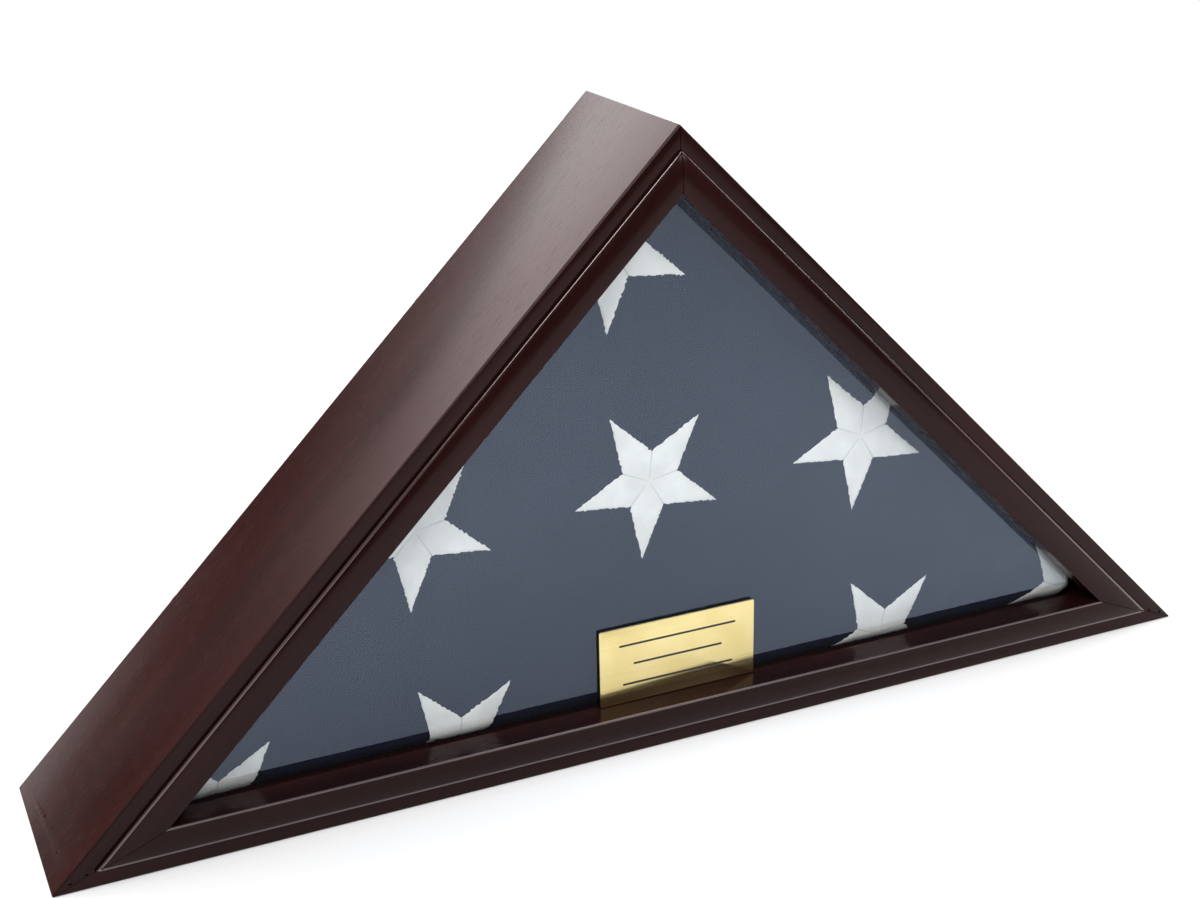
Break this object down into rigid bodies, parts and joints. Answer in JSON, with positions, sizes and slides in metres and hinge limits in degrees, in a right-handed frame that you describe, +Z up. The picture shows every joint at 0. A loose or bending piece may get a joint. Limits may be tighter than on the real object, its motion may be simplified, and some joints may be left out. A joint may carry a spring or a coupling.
{
  "type": "folded flag display case",
  "caption": "Triangular mahogany-finish wooden display case with a glass front, holding a folded flag and a brass plaque, with a back panel held by turn buttons.",
  "frame": {"origin": "on the surface that the case stands on, at the middle of its width and depth", "axes": "+X along the base to the right as seen from the front, +Y from the glass to the back panel, +Z up to the apex"},
  "size_m": [0.6478, 0.114, 0.3239],
  "materials": {
    "wood_wall": "satin lacquered mahogany stain",
    "wood_frame": "gloss lacquered mahogany stain",
    "wood_bead": "stained, unpolished",
    "glass": "clear flat glass",
    "flag_cloth": "plain-weave navy cotton with white embroidered stars",
    "brass_plate": "brushed, lacquered",
    "black_backing": "matte foam",
    "panel_board": "dark-faced hardboard",
    "lining_felt": "black felt",
    "zinc_button": "yellow-passivated stamped metal",
    "steel_fastener": "bright zinc"
  },
  "bodies": {
    "case": {"back_panel": "panel_board", "bottom_wall": "wood_wall", "button_screw_bottom_1": "steel_fastener", "button_screw_bottom_2": "steel_fastener", "button_screw_left_1": "steel_fastener", "button_screw_left_2": "steel_fastener", "button_screw_right_1": "steel_fastener", "button_screw_right_2": "steel_fastener", "folded_flag": "flag_cloth", "frame_brad_left_1": "steel_fastener", "frame_brad_left_2": "steel_fastener", "frame_brad_right_1": "steel_fastener", "frame_brad_right_2": "steel_fastener", "front_frame_bottom": "wood_frame", "front_frame_left": "wood_frame", "front_frame_right": "wood_frame", "glass_bead_bottom": "wood_bead", "glass_bead_left": "wood_bead", "glass_bead_right": "wood_bead", "glass_pane": "glass", "left_wall": "wood_wall", "panel_lining": "lining_felt", "plaque_backing": "black_backing", "plaque_plate": "brass_plate", "right_wall": "wood_wall", "wall_brad_apex_1": "steel_fastener", "wall_brad_apex_2": "steel_fastener", "wall_brad_left_1": "steel_fastener", "wall_brad_left_2": "steel_fastener", "wall_brad_right_1": "steel_fastener", "wall_brad_right_2": "steel_fastener"},
    "button_left_1": {"turn_button_left_1": "zinc_button"},
    "button_left_2": {"turn_button_left_2": "zinc_button"},
    "button_right_1": {"turn_button_right_1": "zinc_button"},
    "button_right_2": {"turn_button_right_2": "zinc_button"},
    "button_bottom_1": {"turn_button_bottom_1": "zinc_button"},
    "button_bottom_2": {"turn_button_bottom_2": "zinc_button"}
  },
  "joints": [
    {"name": "turn_left_1", "type": "hinge", "parent": "case", "child": "button_left_1", "pos_m": [-0.23298, 0.0544, 0.08394], "axis": [0, 1, 0], "continuous": true},
    {"name": "turn_left_2", "type": "hinge", "parent": "case", "child": "button_left_2", "pos_m": [-0.09366, 0.0544, 0.22326], "axis": [0, 1, 0], "continuous": true},
    {"name": "turn_right_1", "type": "hinge", "parent": "case", "child": "button_right_1", "pos_m": [0.08394, 0.0544, 0.23298], "axis": [0, 1, 0], "continuous": true},
    {"name": "turn_right_2", "type": "hinge", "parent": "case", "child": "button_right_2", "pos_m": [0.22326, 0.0544, 0.09366], "axis": [0, 1, 0], "continuous": true},
    {"name": "turn_bottom_1", "type": "hinge", "parent": "case", "child": "button_bottom_1", "pos_m": [0.14904, 0.0544, 0.005], "axis": [0, 1, 0], "range_deg": [-90, 90]},
    {"name": "turn_bottom_2", "type": "hinge", "parent": "case", "child": "button_bottom_2", "pos_m": [-0.1296, 0.0544, 0.005], "axis": [0, 1, 0], "range_deg": [-90, 90]}
  ]
}
